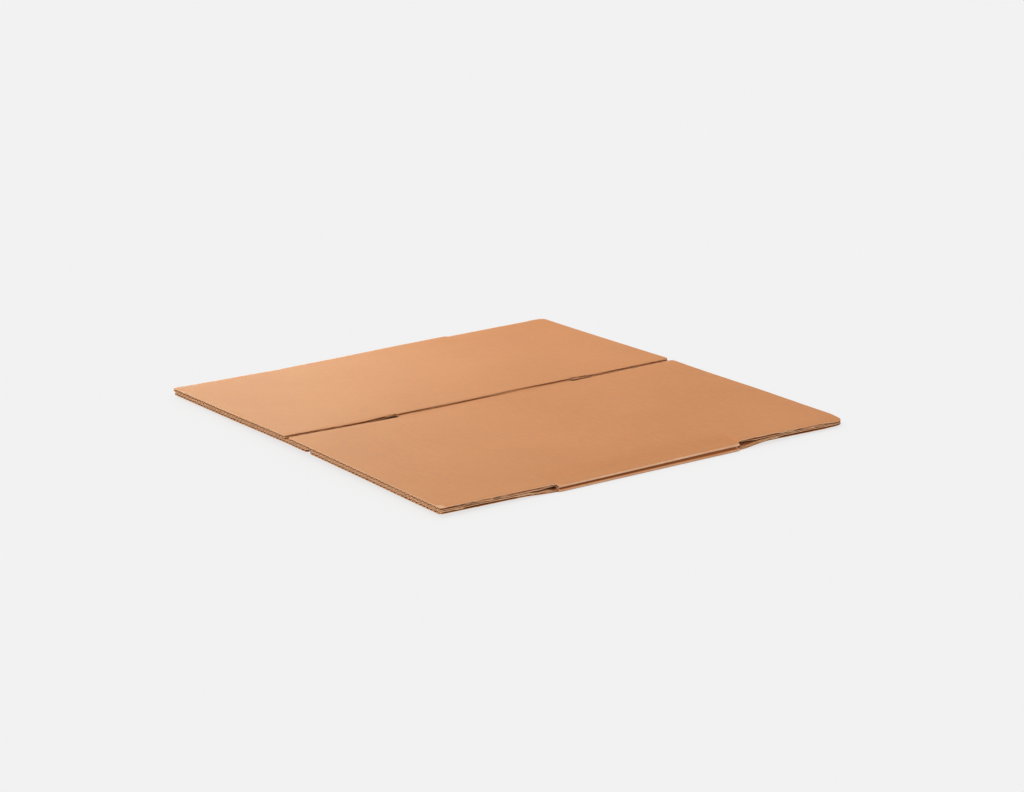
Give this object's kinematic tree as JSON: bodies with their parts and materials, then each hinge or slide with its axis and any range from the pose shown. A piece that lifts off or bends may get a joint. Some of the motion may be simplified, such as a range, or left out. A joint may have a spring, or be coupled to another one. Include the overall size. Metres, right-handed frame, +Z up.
{
  "type": "flattened cardboard box",
  "caption": "Slotted shipping box of corrugated board, glued into a loop and folded flat, with flaps at both ends and open flutes along the cut edges.",
  "frame": {"origin": "centre of the flattened sheet, on the surface that it lies on", "axes": "+X across the panels from fold to fold, +Y along the flutes towards the far flaps, +Z up"},
  "size_m": [0.666, 0.568, 0.0146],
  "materials": {
    "kraft_board": "matt kraft liner with a faint washboard of flutes and a duller, rougher cut edge"
  },
  "bodies": {
    "root": {"flattened_box": "kraft_board"}
  },
  "joints": []
}
